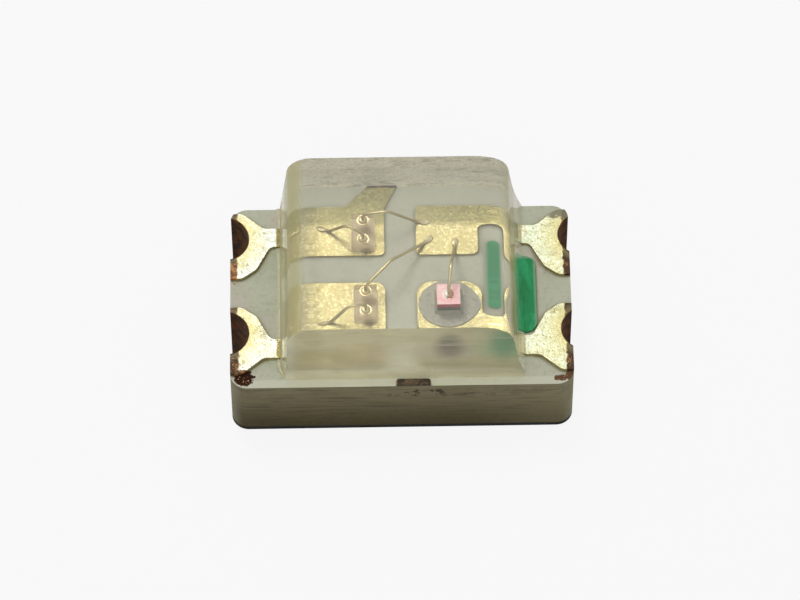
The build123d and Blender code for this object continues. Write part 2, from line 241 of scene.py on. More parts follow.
class Graph:
    """A node tree, and the one method that adds nodes to it."""

    def __init__(self, tree):
        self.tree = tree

    def node(self, kind, settings=None, sockets=None, output=0):
        """Adds a node with its settings, then the values or links of its sockets."""
        made = self.tree.nodes.new(kind)
        for name, value in (settings or {}).items():
            setattr(made, name, value)
        for name, value in (sockets or {}).items():
            if isinstance(value, Signal):
                self.tree.links.new(value.socket, made.inputs[name])
            else:
                made.inputs[name].default_value = value
        return Signal(self, made.outputs[output]) if made.outputs else made

    def math(self, operation, *values):
        return self.node("ShaderNodeMath", {"operation": operation}, dict(enumerate(values)))

    def vector_math(self, operation, *values, output=0):
        return self.node(
            "ShaderNodeVectorMath", {"operation": operation}, dict(enumerate(values)), output
        )

    def largest(self, *values):
        kept = values[0]
        for value in values[1:]:
            kept = self.math("MAXIMUM", kept, value)
        return kept

    def smallest(self, *values):
        kept = values[0]
        for value in values[1:]:
            kept = self.math("MINIMUM", kept, value)
        return kept


class Finish(Graph):
    """A material, with the patterns that its surfaces are made of. Lengths are in mm."""

    def __init__(self, name):
        self.material = bpy.data.materials.new(name)
        self.material.use_nodes = True
        super().__init__(self.material.node_tree)
        self.tree.nodes.clear()
        spot = self.node("ShaderNodeTexCoord", output="Object")
        self.place = self.vector_math("SCALE", spot)
        self.place.socket.node.inputs["Scale"].default_value = 1 / MM
        self.facing_x = self.node("ShaderNodeSeparateXYZ", sockets={0: spot.also("Normal")})
        self.facing_z = self.facing_x.also("Z")
        self.x = self.node("ShaderNodeSeparateXYZ", sockets={0: self.place})
        self.y, self.z = self.x.also("Y"), self.x.also("Z")

    def stretched(self, stretch, shift):
        return self.node(
            "ShaderNodeMapping", {}, {"Vector": self.place, "Scale": stretch, "Location": shift}
        )

    def noise(self, scale, detail, roughness, stretch=(1, 1, 1), shift=(0, 0, 0)):
        """Cloudy variation from 0 to 1, with scale features in a mm."""
        return self.node("ShaderNodeTexNoise", {}, {
            "Vector": self.stretched(stretch, shift), "Scale": scale, "Detail": detail,
            "Roughness": roughness,
        })

    def cells(self, scale, shift=(0, 0, 0), output="Distance"):
        """Distance from the nearest of many scattered points, or the colour that each one has."""
        return self.node(
            "ShaderNodeTexVoronoi", {},
            {"Vector": self.stretched((1, 1, 1), shift), "Scale": scale}, output,
        )

    def step(self, value, low, high):
        """0 below low, 1 above high, and smooth between them. Low may be above high."""
        return self.node(
            "ShaderNodeMapRange", {"interpolation_type": "SMOOTHSTEP"},
            {"Value": value, "From Min": low, "From Max": high},
        )

    def span(self, value, low, high, to_low, to_high):
        """A value between to_low and to_high that follows another between low and high."""
        return self.node("ShaderNodeMapRange", {}, {
            "Value": value, "From Min": low, "From Max": high, "To Min": to_low, "To Max": to_high,
        })

    def varied(self, noise, low, high):
        """A value between low and high that follows a noise."""
        return self.span(noise, 0.3, 0.7, low, high)

    def blend(self, first, second, amount):
        """One colour turning into another."""
        ends = {
            key: value if isinstance(value, Signal) else (*value[:3], 1)
            for key, value in ((6, first), (7, second))
        }
        return self.node("ShaderNodeMix", {"data_type": "RGBA"}, {0: amount, **ends}, output=2)

    def coats(self, tone, *coats):
        """A colour with others laid over it in turn, each with its mask."""
        for cover, mask in coats:
            tone = self.blend(tone, cover, mask)
        return tone

    def bump(self, height, depth, strength):
        """A normal from a height that runs from 0 to 1, depth mm deep."""
        return self.node(
            "ShaderNodeBump", {}, {"Height": height, "Distance": depth * MM, "Strength": strength}
        )

    def surface(self, **sockets):
        named = {name.replace("_", " "): value for name, value in sockets.items()}
        for name, value in named.items():
            if isinstance(value, tuple):
                named[name] = (*value[:3], 1)
        return self.node("ShaderNodeBsdfPrincipled", {}, named)

    def mix(self, first, second, amount):
        return self.node("ShaderNodeMixShader", {}, {0: amount, 1: first, 2: second})

    def reach(self, across, along):
        """How far a point is from a middle, from its distances across and along."""
        offset = self.node("ShaderNodeCombineXYZ", {}, {"X": across, "Y": along})
        return self.vector_math("LENGTH", offset, output="Value")

    def topside(self):
        """1 on what shows from above the board, 0 on the solder side."""
        return self.step(self.z, 0.3, 0.4)

    def smudges(self, jagged):
        """Dark dirt where the saw smeared copper over the front corners."""
        nearest = self.smallest(*(
            self.reach((self.x - x) / along, (self.y - y) / across)
            for x, y, along, across in SMUDGES
        ))
        return self.step(nearest + jagged * 1.2, 1.15, 0.9) * self.step(self.z, 0.2, 0.3)

    def lamps_pass(self, shader, tint):
        """Lets lamps light what is under the resin."""
        clear = self.node("ShaderNodeBsdfTransparent", {}, {"Color": (*tint, 1)})
        return self.mix(shader, clear, self.node("ShaderNodeLightPath", output="Is Shadow Ray"))

    def done(self, shader):
        self.node("ShaderNodeOutputMaterial", {}, {"Surface": shader})
        return self.material


def wear(obj, *materials):
    """Gives an object its materials, in the order of its slots."""
    while len(obj.material_slots) < len(materials):
        obj.data.materials.append(None)
    for slot, material in zip(obj.material_slots, materials):
        slot.material = material


def dress(nodes, material):
    """Gives CAD nodes a material."""
    for node in nodes:
        wear(NODES[node], material)


def colour(name):
    """A colour from the panel."""
    return tuple(getattr(bpy.context.scene.chip_colours, name))


# ---- finishes ----


def laminate_finish():
    """White laminate, with painted shade beside the copper, and a browner sawn edge cut in fine lines.
    """
    f = Finish("laminate")
    grain = f.noise(38, 4, 0.65)
    clouds = f.step(f.noise(2.6, 4, 0.6), 0.42, 0.68)
    blush = f.step(f.noise(4.5, 3, 0.5, shift=(3, 1, 7)), 0.5, 0.75)
    # Painted shade: where ambient occlusion finds the copper close, the board is painted darker olive.
    shut_in = f.node(
        "ShaderNodeAmbientOcclusion", {"samples": 12}, {"Distance": 0.034 * MM}, output="AO"
    )
    painted_copper_shade = f.step(shut_in + (grain - 0.5) * 0.12, 0.93, 0.68)
    foot = f.largest(
        f.step(abs(f.x), 0.58, 0.62) * f.step(abs(f.x), 0.79, 0.75), f.step(f.y, 0.56, 0.6),
        f.step(f.y, -0.535, -0.555) * f.step(abs(f.x), 0.85, 0.80),
    )
    # Painted light: the board under the lens is painted lighter, most towards the back, against the
    # shadow of the lens.
    painted_light_under_lens = f.step(abs(f.x), 0.70, 0.62) * f.step(f.y, -0.58, -0.56) * f.topside()
    # Painted light: the strip of board in front of the lens is painted lighter, against the shadow of
    # the lens.
    painted_light_before_lens = f.step(f.y + (grain - 0.5) * 0.01, -0.565, -0.578)
    dirt = f.blend(paint(48, 22, 6), paint(108, 80, 58), f.step(f.x, 0, 0.3) * 0.8)
    dirty = f.smudges((grain - 0.5) * 1.5)
    face = f.coats(
        colour("laminate"),
        (paint(171, 176, 151), clouds),
        (paint(188, 182, 168), blush),
        (paint(146, 144, 122), f.step(grain, 0.5, 0.74) * 0.45),
        (paint(112, 104, 62), painted_copper_shade * (1 - foot) * 0.66),
        (paint(206, 206, 190), painted_light_under_lens * f.span(f.y, 0.45, 0.52, 0.34, 0.7)),
        (paint(197, 197, 177), painted_light_before_lens * 0.8),
        (dirt, dirty),
    )
    cuts = f.noise(60, 3, 0.6, stretch=(0.06, 0.06, 1))
    height = f.span(f.z, 0.02, 0.47, 0, 1)
    faded = f.step(f.noise(3, 4, 0.7, shift=(9, 2, 4)), 0.45, 0.75) * height
    specks = f.step(f.noise(17, 3, 0.6, stretch=(0.9, 0.9, 1.0), shift=(5, 5, 5)), 0.52, 0.60)
    specks = specks * f.step(height, 0.70, 0.78) * f.step(height, 0.95, 0.89)
    specks = specks * f.span(f.x, -0.12, 0.0, 0.15, 1) * f.span(f.x, 0.22, 0.34, 1, 0.35)
    edge = f.coats(
        # Painted shade: the sawn edge darkens towards the bottom.
        paint(70, 62, 30),
        (colour("laminate_edge"), f.step(height, -0.02, 1.0)),
        (paint(120, 106, 78), faded * 0.6),
        (paint(58, 53, 36), f.step(cuts, 0.48, 0.7) * 0.5),
        (paint(48, 34, 22), specks * 0.85),
        (paint(158, 150, 116), f.span(f.x, 0.40, 1.0, 0, 0.34)),
        # Painted light: faces of the edge that turn to the sides are painted lighter than the front
        # and back.
        (paint(146, 142, 116), f.step(abs(f.facing_x), 0.3, 0.9) * 0.5),
        # Painted shadow: a near-black line along the foot of the edge.
        (paint(10, 8, 5), f.step(height + (grain - 0.5) * 0.03, 0.080, 0.050)),
    )
    upright = f.step(abs(f.facing_z), 0.75, 0.5)
    relief = grain * 0.4 + cuts * upright * 0.6
    return f.done(f.surface(
        Base_Color=f.blend(face, edge, upright), Specular_IOR_Level=0.15,
        Roughness=f.varied(grain, 0.5, 0.68) + dirty * 0.25, Normal=f.bump(relief, 0.003, 0.6),
    ))


def plate_finish():
    """Gold plate: painted glare outside the lens and painted shade under it, painted glints and shade
    on its grains, pitted, torn back to copper by the saw, dark brown in the holes.
    """
    f = Finish("gold_plate")
    wander = f.noise(16, 4, 0.6)
    clouds = f.noise(5.5, 4, 0.6, shift=(1, 4, 2))
    jagged = f.noise(30, 3, 0.6, shift=(6, 3, 2)) - 0.5
    far = f.smallest(*(f.reach(f.x - x, f.y - y) for x, y in HOLES))
    in_hole = f.step(far + (wander - 0.5) * 0.008, HOLE_RADIUS - 0.005, HOLE_RADIUS - 0.012)
    near_hole = f.step(far + (wander - 0.5) * 0.03, HOLE_RADIUS + 0.045, HOLE_RADIUS)
    warm = f.step(far + (clouds - 0.5) * 0.12, HOLE_RADIUS + 0.14, HOLE_RADIUS + 0.02)
    leftward, rightward = f.step(f.x, 0.2, -0.2), f.step(f.x, -0.2, 0.2)
    frontward = f.step(f.y, 0, -0.3)
    left_middle = f.step(f.y, 0.27, 0.24) * f.step(f.x, 0, -0.1) * f.step(f.y, 0, 0.1)
    fresh = f.largest(f.step(f.y, -0.40, -0.43), left_middle)
    torn = f.largest(
        f.step(abs(f.x) + jagged * 0.04 + frontward * leftward * 0.012, 0.955, 0.967),
        f.step(f.y + jagged * 0.02, 0.607, 0.612), f.smudges(jagged),
    )
    # The upright edges of the plate: partly bare edge, partly painted shade where the copper rises
    # from the board.
    wall = f.step(abs(f.facing_z), 0.7, 0.4)

    outside = f.largest(
        f.step(f.x, -0.724, -0.734), f.step(f.x, 0.690, 0.700), f.step(f.z, 0.3, 0.2)
    )
    # Painted glare: the gold outside the lens is painted nearly white, yellower on the right.
    free = f.coats(
        colour("gold"),
        ((0.485, 0.525, 0.375), rightward),
        ((0.56, 0.49, 0.22), f.step(clouds, 0.42, 0.7) * 0.5),
    )
    # Painted shade: towards the back of the lens the gold is painted dimmer, darkest on the right.
    shut_in = f.step(f.y + (wander - 0.5) * 0.05, 0.325, 0.375)
    dim = f.blend((0.175, 0.158, 0.065), (0.135, 0.118, 0.045), f.step(f.x, 0.43, 0.50))
    # Painted light and shade at the right foot of the lens: a lighter yellow band, then a dark line at
    # the foot's edge.
    window = f.step(f.x, 0.640, 0.655) * f.topside()
    # Painted shade: the gold under the lens is painted as a darker, yellower copy of the gold outside
    # it.
    under = f.coats(
        (0.34, 0.292, 0.132),
        ((0.29, 0.24, 0.095), f.step(clouds, 0.4, 0.7) * 0.5),
        (dim, shut_in),
        # Painted shade under the left side of the lens.
        ((0.12, 0.10, 0.03), f.step(f.x, -0.64, -0.67) * f.topside() * 0.8),
        ((0.44, 0.40, 0.22), window * f.step(f.x, 0.690, 0.684)),
        ((0.15, 0.13, 0.06), window * f.step(f.x, 0.684, 0.690)),
    )

    # The grains of the plate get painted glints and painted shade, each dimmer in the shaded strip at
    # the back and paler outside the lens.
    facets = f.node("ShaderNodeSeparateXYZ", sockets={0: f.cells(95, output="Color")})
    fine = f.noise(58, 4, 0.75, shift=(5, 5, 0))
    glints = f.largest(f.step(facets, 0.78, 0.95), f.step(fine, 0.55, 0.64))
    shade = f.largest(f.step(facets.also("Y"), 0.72, 0.92), f.step(fine, 0.45, 0.36))
    grit_and_grain_shade = f.coats(
        (0.27, 0.215, 0.07), ((0.12, 0.10, 0.04), shut_in), ((0.34, 0.28, 0.10), outside)
    )
    spark = f.coats(
        (0.66, 0.60, 0.36), ((0.34, 0.30, 0.15), shut_in), ((0.80, 0.80, 0.66), outside)
    )
    pits = f.step(f.cells(30, shift=(3, 3, 3)), 0.24, 0.1)
    pits = pits * f.step(f.noise(9, 3, 0.6, shift=(2, 8, 1)), 0.44, 0.58)
    scuffs = f.step(f.noise(13, 4, 0.75, shift=(2, 2, 9)), 0.52, 0.60) * outside
    scuffs = scuffs * f.step(far, HOLE_RADIUS + 0.12, HOLE_RADIUS + 0.07)
    stains = f.step(f.noise(21, 4, 0.7, shift=(8, 1, 5)), 0.58, 0.7) * outside
    worn = f.step(f.x, 0.87, 0.90) * f.step(f.y + jagged * 0.10, 0.515, 0.540) * f.topside()
    browning = f.noise(26, 3, 0.6, shift=(4, 0, 9)) + rightward * 0.05
    browning = browning + frontward * 0.12 + (1 - fresh) * 0.12
    copper = f.blend(colour("copper"), paint(74, 52, 32), f.step(browning, 0.42, 0.62))
    # Dark brown in the holes.
    hole_brown = f.blend(paint(88, 50, 12), paint(48, 29, 8), f.step(f.noise(18, 3, 0.6), 0.4, 0.62))
    tone = f.coats(
        f.blend(under, free, outside),
        (grit_and_grain_shade, shade * (outside * 0.05 + 0.46)),
        (spark, glints * (outside * 0.05 + 0.50)),
        ((0.30, 0.22, 0.09), pits * 0.45),
        ((0.15, 0.14, 0.08), scuffs * 0.6),
        ((0.34, 0.25, 0.10), stains * 0.5),
        ((0.50, 0.44, 0.19), warm * 0.5),
        ((0.45, 0.36, 0.13), near_hole * 0.4),
        # Darker brown on the upright edges: bare edge and painted shade.
        ((0.46, 0.37, 0.13), wall * 0.85),
        (copper, torn * (1 - near_hole * 0.3)),
        (paint(122, 118, 96), worn * 0.85),
        (hole_brown, in_hole),
    )
    dull = f.largest(in_hole, torn * 0.85, wall * 0.9, worn * 0.8)
    rough = f.span(facets.also("Z"), 0, 1, 0.34, 0.46) + dull * 0.25 + in_hole * 0.2
    relief = f.noise(90, 3, 0.7) * 0.45 + f.noise(14, 3, 0.5) * 0.25 - pits * outside * 0.4
    return f.done(f.surface(
        Base_Color=tone, Metallic=1 - dull * 0.95, Specular_IOR_Level=0.25, Roughness=rough,
        Normal=f.bump(relief, 0.006, 0.5),
    ))


def copper_finish():
    """Copper left bare on the edge, gone brown."""
    f = Finish("bare_copper")
    blotches = f.noise(24, 4, 0.6)
    flecks = f.step(f.noise(40, 2, 0.5, shift=(1, 2, 3)), 0.62, 0.72)
    tone = f.coats(
        paint(86, 69, 47),
        (paint(52, 40, 27), f.step(blotches, 0.4, 0.65)),
        (paint(150, 118, 80), flecks * 0.6),
    )
    return f.done(f.surface(
        Base_Color=tone, Metallic=0.2, Roughness=f.varied(blotches, 0.45, 0.7),
        Specular_IOR_Level=0.3, Normal=f.bump(f.noise(50, 3, 0.6), 0.004, 0.5),
    ))


def fresh_copper_finish():
    """Copper just torn, still bright in places."""
    f = Finish("torn_copper")
    blotches = f.noise(60, 3, 0.6)
    tone = f.blend(paint(206, 160, 104), paint(118, 80, 48), f.step(blotches, 0.42, 0.6))
    return f.done(f.surface(
        Base_Color=tone, Metallic=f.varied(blotches, 0.3, 0.5),
        Roughness=f.varied(blotches, 0.4, 0.6), Normal=f.bump(f.noise(80, 3, 0.6), 0.003, 0.5),
    ))


def resist_finish():
    """Printed green resist, blotchy and pale where it is thin."""
    f = Finish("green_resist")
    clouds = f.noise(9, 4, 0.6, stretch=(1, 0.5, 1))
    deep = f.step(f.noise(14, 3, 0.6, stretch=(1, 0.6, 1), shift=(6, 1, 1)), 0.5, 0.68)
    rim = f.largest(
        f.step(f.x + (clouds - 0.5) * 0.006, 0.471, 0.467),
        f.step(f.x + (clouds - 0.5) * 0.012, 0.776, 0.789),
        f.step(f.y + (clouds - 0.5) * 0.012, 0.236, 0.254),
    ) * f.step(f.x, 0.3, 0.4)
    tone = f.coats(
        colour("resist"),
        (paint(44, 158, 102), f.step(clouds, 0.42, 0.62)),
        (paint(20, 92, 54), deep * 0.5),
        (paint(128, 168, 134), rim * 0.65),
    )
    return f.done(f.surface(
        Base_Color=tone, Roughness=f.varied(clouds, 0.5, 0.62), Specular_IOR_Level=0.2,
        Normal=f.bump(f.noise(30, 3, 0.5), 0.003, 0.5),
    ))


def red_chip_finish():
    """The red-emitting chip: pink top, darker sawn sides."""
    f = Finish("red_chip")
    wander = f.noise(40, 3, 0.6)
    upper = f.step(f.z + (wander - 0.5) * 0.02, 0.575, 0.60)
    side = f.blend(paint(66, 54, 46), paint(186, 20, 44), upper)
    face = f.blend(paint(255, 186, 190), paint(255, 218, 216), f.step(wander, 0.4, 0.65))
    return f.done(f.surface(
        Base_Color=f.blend(side, face, f.step(f.facing_z, 0.5, 0.8)),
        Roughness=f.varied(wander, 0.25, 0.45), Normal=f.bump(wander, 0.002, 0.5),
    ))


def clear_chip_finish():
    """Sapphire, seen inside resin, with a faint brown cast from its thin emitting layer."""
    f = Finish("clear_chip")
    clouds = f.noise(14, 3, 0.5)
    glass = f.surface(
        Base_Color=(0.98, 0.94, 0.91), Roughness=f.varied(clouds, 0.03, 0.09), IOR=1.12,
        Transmission_Weight=1.0,
    )
    brown = f.blend(paint(216, 188, 166), paint(200, 168, 146), clouds)
    cast = f.surface(Base_Color=brown, Roughness=0.4)
    both = f.mix(glass, cast, f.varied(clouds, 0.07, 0.14))
    return f.done(f.lamps_pass(both, (0.97, 0.95, 0.93)))


def paste_finish():
    """Silver-filled paste: grey, gritty, with bright flakes."""
    f = Finish("silver_paste")
    flakes = f.step(f.cells(60), 0.3, 0.15)
    clouds = f.noise(12, 4, 0.6)
    grit_and_grain_shade = f.step(f.noise(34, 3, 0.6, shift=(7, 2, 2)), 0.5, 0.68)
    tone = f.coats(
        paint(158, 155, 138),
        (paint(184, 179, 160), clouds),
        (paint(132, 134, 118), grit_and_grain_shade * 0.6),
        (paint(214, 210, 192), flakes * 0.4),
    )
    return f.done(f.surface(
        Base_Color=tone, Metallic=flakes * 0.5 + 0.1, Roughness=f.varied(clouds, 0.45, 0.7),
        Normal=f.bump(f.noise(60, 3, 0.7), 0.004, 0.8),
    ))


def glue_finish():
    """The clear adhesive under a sapphire chip."""
    f = Finish("clear_glue")
    clouds = f.noise(20, 3, 0.6)
    return f.done(f.surface(
        Base_Color=f.blend(paint(206, 190, 140), paint(186, 168, 120), clouds),
        Roughness=f.varied(clouds, 0.2, 0.35),
    ))


def contact_finish():
    """Evaporated contact metal; on the red chip it is painted ruddy, a painted reflection of the chip,
    with a painted white glint on its left.
    """
    f = Finish("contact_metal")
    wander = f.noise(60, 3, 0.6)
    on_red = f.step(f.z, 0.60, 0.62)
    # Painted glint: the left of the contact on the red chip is painted white and not metallic.
    shining = f.step(f.x, 0.270, 0.262) * on_red
    pale = f.blend((0.80, 0.66, 0.38), (0.72, 0.55, 0.28), wander)
    # Painted reflection: the ruddy colour stands for the pink chip seen in the metal.
    ruddy = f.blend((0.62, 0.30, 0.26), (0.46, 0.20, 0.17), wander)
    tone = f.blend(pale, f.blend(ruddy, paint(255, 250, 246), shining), on_red)
    return f.done(f.surface(
        Base_Color=tone, Metallic=0.9 - shining * 0.9, Roughness=f.varied(wander, 0.25, 0.4),
        Normal=f.bump(wander, 0.002, 0.4),
    ))


def wire_finish():
    """Drawn gold wire, painted ruddy over the red chip as a reflection of it, with a painted glint on
    the left of its ball there.
    """
    f = Finish("gold_wire")
    wander = f.noise(90, 3, 0.6)
    # Painted reflection of the pink chip in the ball and wire over it, and a painted white glint on
    # the left of the ball.
    over_red = f.step(f.z, 0.635, 0.641) * f.step(f.z, 0.700, 0.668)
    over_red = over_red * f.step(abs(f.x - 0.2745), 0.06, 0.05)
    glint = over_red * f.step(f.x, 0.268, 0.260) * f.step(f.z, 0.672, 0.660)
    tone = f.coats(
        (0.74, 0.65, 0.37),
        ((0.60, 0.50, 0.25), wander),
        ((0.80, 0.70, 0.42), f.step(f.z, 0.506, 0.496)),
        ((0.50, 0.28, 0.16), over_red * 0.8),
        (paint(255, 252, 250), glint),
    )
    return f.done(f.surface(
        Base_Color=tone, Metallic=f.varied(wander, 0.75, 0.85) - glint * 0.75,
        Roughness=f.varied(wander, 0.3, 0.42), Normal=f.bump(wander, 0.0015, 0.4),
    ))


def moulded_resin_finish():
    """Clear resin as it leaves the mould: a smooth skin over faintly milky resin, with a painted
    yellow glow of the gold seen through its sides and foot.
    """
    f = Finish("clear_resin")
    ripple = f.noise(3.2, 2, 0.4)
    clouds = f.noise(2.2, 3, 0.5, shift=(4, 4, 4))
    left = f.step(f.x, -0.500, -0.625) * f.step(f.z, 0.60, 0.78)
    right = f.step(f.x, 0.565, 0.64) * f.step(f.z, 0.60, 0.70)
    left_side = f.step(f.x, -0.635, -0.65)
    thin = left_side * f.step(f.z, 0.80, 0.62)
    foot = left_side * f.step(f.z, 0.62, 0.54) * f.step(abs(f.facing_x), 0.4, 0.8)
    clear = f.surface(
        Base_Color=(0.99, 0.988, 0.972), Roughness=f.varied(ripple, 0.05, 0.08) + foot * 0.38,
        IOR=RESIN_IOR, Transmission_Weight=1.0, Specular_IOR_Level=0.0,
        Normal=f.bump(ripple, 0.006, 0.12),
    )
    # Painted glow: the yellow of the gold, seen through the sides and foot of the lens, is painted
    # into their haze.
    painted_gold_glow = f.coats(
        paint(168, 159, 84), (paint(230, 223, 176), thin), (paint(190, 182, 122), foot)
    )
    haze_and_gold_glow = f.blend(colour("resin_haze"), painted_gold_glow, f.largest(left, right, thin) * 0.85)
    haze = f.surface(Base_Color=haze_and_gold_glow, Roughness=0.6)
    share = f.varied(clouds, 0.08, 0.16) + right * 0.36 + left * 0.48 + thin * 0.14 + foot * 0.55
    share = share * f.step(f.x, 0.696, 0.690)
    return f.done(f.lamps_pass(f.mix(clear, haze, share), (0.94, 0.93, 0.90)))


def sawn_resin_finish(name, passing, frosting, glowing, stained, within_seen=0.0):
    """Resin cut by the saw: frosted, with fine marks, and with painted shade and green where the red
    chip and the mark lie close behind it.
    """
    f = Finish(name)
    cuts = f.noise(46, 4, 0.6, stretch=(0.05, 0.05, 1))
    blotches = f.noise(5, 4, 0.6, stretch=(1, 1, 1.6))
    marks = f.step(f.noise(90, 2, 0.5, stretch=(0.03, 0.03, 1), shift=(2, 3, 8)), 0.52, 0.7)
    clear = f.surface(
        Base_Color=(0.97, 0.96, 0.92), Roughness=f.varied(cuts, 0.42, 0.56), IOR=RESIN_IOR,
        Transmission_Weight=1.0, Normal=f.bump(cuts, 0.006, 0.3),
    )
    shaded = f.step(f.x, 0.02, 0.30) * f.step(f.z, 0.46, 0.54) * within_seen
    shaded = shaded * f.span(f.z, 0.52, 0.66, 1, 0.6)
    # Painted shade of the red chip, and painted green of the mark, as seen through the frosted front
    # face.
    painted_chip_shade, painted_mark_green = (
        f.step(f.reach((f.x - x) / across, (f.z - z) / up + (blotches - 0.5)), 1.4, 0.3)
        * within_seen
        for x, z, across, up in ((0.275, 0.80, 0.090, 0.13), (0.590, 0.84, 0.10, 0.20))
    )
    tone = f.coats(
        paint(236, 229, 180),
        (paint(212, 201, 150), f.step(blotches, 0.4, 0.7)),
        (paint(160, 156, 112), shaded * 0.8),
        # Painted light: the left end of the front face is painted lighter.
        (paint(255, 252, 222), f.step(f.x, -0.60, -0.65) * within_seen),
        (paint(104, 102, 90), painted_chip_shade),
        (paint(80, 146, 98), painted_mark_green),
        (paint(208, 202, 178), marks * 0.5),
    )
    frost = f.surface(Base_Color=tone, Roughness=0.7, Normal=f.bump(cuts, 0.006, 0.5))
    glow = f.node("ShaderNodeBsdfTranslucent", {}, {"Color": (0.80, 0.76, 0.64, 1)})
    smears = f.noise(15, 5, 0.75, stretch=(0.6, 0.6, 1), shift=(9, 9, 1))
    dust = f.noise(62, 2, 0.6, stretch=(0.8, 0.8, 1), shift=(1, 9, 5))
    dirt = f.largest(f.step(smears, 0.48, 0.68), f.step(dust, 0.48, 0.66) * 0.75)
    brown = f.surface(
        Base_Color=f.blend(paint(140, 120, 88), paint(112, 90, 62), smears), Roughness=0.8
    )
    frost = f.mix(f.mix(frost, glow, glowing), brown, dirt * stained)
    rims = f.largest(f.step(f.z, 0.76, 0.88) * 0.36, f.step(f.z, 0.57, 0.51) * 0.34)
    # The frosting is thicker over the painted shade and green.
    clouded = f.largest(painted_chip_shade, painted_mark_green)
    share = f.varied(cuts, frosting, frosting + 0.14) + marks * 0.1 + rims
    share = share + clouded * 0.3 + shaded * 0.10
    tint = (passing, passing, passing * 0.96)
    return f.done(f.lamps_pass(f.mix(clear, frost, share), tint))


# ---- making meshes ----


def in_scene(name, data):
    """Puts an object for a mesh, lamp or camera into the scene."""
    made = bpy.data.objects.new(name, data)
    bpy.context.scene.collection.objects.link(made)
    return made


def add_piece(name, mesh, replaces=()):
    """Puts a finished mesh into the scene as a piece that rides with the part."""
    piece = in_scene(name, mesh)
    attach(piece, "root")
    if replaces:
        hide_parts(*replaces)
    return piece


def written(bm, name):
    """A mesh from what has been built in bmesh."""
    mesh = bpy.data.meshes.new(name)
    bm.to_mesh(mesh)
    bm.free()
    return mesh


def chip_mesh(node):
    """A chip with eased edges that fills a node's box and is sunk a little into what holds it."""
    low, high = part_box(node)
    low.z -= CHIP_SUNK
    bm = bmesh.new()
    bmesh.ops.create_cube(bm, size=1)
    for vert in bm.verts:
        vert.co = (low + high) / 2 + Vector([c * s for c, s in zip(vert.co, high - low)])
    bmesh.ops.bevel(
        bm, geom=list(bm.edges), offset=CHIP_BEVEL, segments=2, affect="EDGES", clamp_overlap=True
    )
    return written(bm, node)


def bezier(points, steps):
    """Points along a cubic curve, its four control points given."""
    placed = []
    for i in range(steps + 1):
        t = i / steps
        weights = ((1 - t) ** 3, 3 * t * (1 - t) ** 2, 3 * t * t * (1 - t), t ** 3)
        placed.append(tuple(sum(w * p[k] for w, p in zip(weights, points)) for k in (0, 1)))
    return placed


def eased_corner(before, corner, after, reaches, ease, steps=20):
    """A rounded corner that starts and ends at given reaches from the sharp one."""
    before, corner, after = Vector(before), Vector(corner), Vector(after)
    start = corner + (before - corner).normalized() * reaches[0]
    end = corner + (after - corner).normalized() * reaches[1]
    return bezier((start, start.lerp(corner, ease), end.lerp(corner, ease), end), steps)


def lens_outline(sizes, low, high):
    """The end profile of the lens, anticlockwise from its lower left corner."""
    bottom, rim = low.z - sizes.sunk, low.z + sizes.flash
    right_foot = (sizes.right_foot, low.z + sizes.fillet_height)
    right_crest, left_crest = (sizes.right_crest, high.z), (sizes.left_crest, high.z)
    left_foot = (sizes.left_foot, rim)
    right_reaches = (sizes.right_down, sizes.right_along)
    left_reaches = (sizes.left_along, sizes.left_down)
    return [
        (low.x, bottom), (high.x, bottom), (high.x, rim),
        *eased_corner(
            (high.x, rim), right_foot, right_crest, FILLET_REACHES, FILLET_EASE, FILLET_STEPS
        ),
        *eased_corner(right_foot, right_crest, left_crest, right_reaches, sizes.right_ease),
        *eased_corner(right_crest, left_crest, left_foot, left_reaches, sizes.left_ease),
        left_foot, (low.x, rim),
    ]


def broken_outline(sizes, outline, low):
    """The end profile at the front, where the foot has broken away and took the flash with it."""
    rim = low.z + sizes.flash
    gone = sizes.broken_foot - sizes.left_foot
    right_edge = sizes.right_foot + sizes.broken_flash
    points = []
    for x, z in outline:
        climb = min(max((z - rim) / sizes.break_height, 0), 1)
        if climb < 1:
            ledge = sizes.flash * BREAK_LEDGE if x < sizes.left_foot else 0
            left_edge = sizes.broken_foot + climb * gone * BREAK_LEAN - ledge
            x = min(max(x, left_edge), right_edge)
        points.append((x, z))
    return points


def lens_mesh(sizes):
    """The lens, drawn back from its broken front, with a slot each for skin, front and back."""
    low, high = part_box("lens")
    outline = lens_outline(sizes, low, high)
    bm = bmesh.new()
    rings = [
        [bm.verts.new((x, y, z)) for x, z in points] for y, points in (
            (low.y, broken_outline(sizes, outline, low)),
            (low.y + sizes.break_length, outline),
            (high.y, outline),
        )
    ]
    count = len(outline)
    for near, far in zip(rings, rings[1:]):
        for i in range(count):
            j = (i + 1) % count
            side = bm.faces.new((near[i], near[j], far[j], far[i]))
            side.smooth = True
    for slot, ring in ((1, rings[0]), (2, rings[-1][::-1])):
        end = bm.faces.new(ring)
        end.material_index = slot
    bmesh.ops.recalc_face_normals(bm, faces=bm.faces)
    for edge in bm.edges:
        if len({face.material_index for face in edge.link_faces}) == 2:
            edge.smooth = False
    mesh = written(bm, "lens")
    mesh.set_sharp_from_angle(angle=SHARPEST_SMOOTH)
    return mesh


# ---- wires and burrs, by Geometry Nodes ----


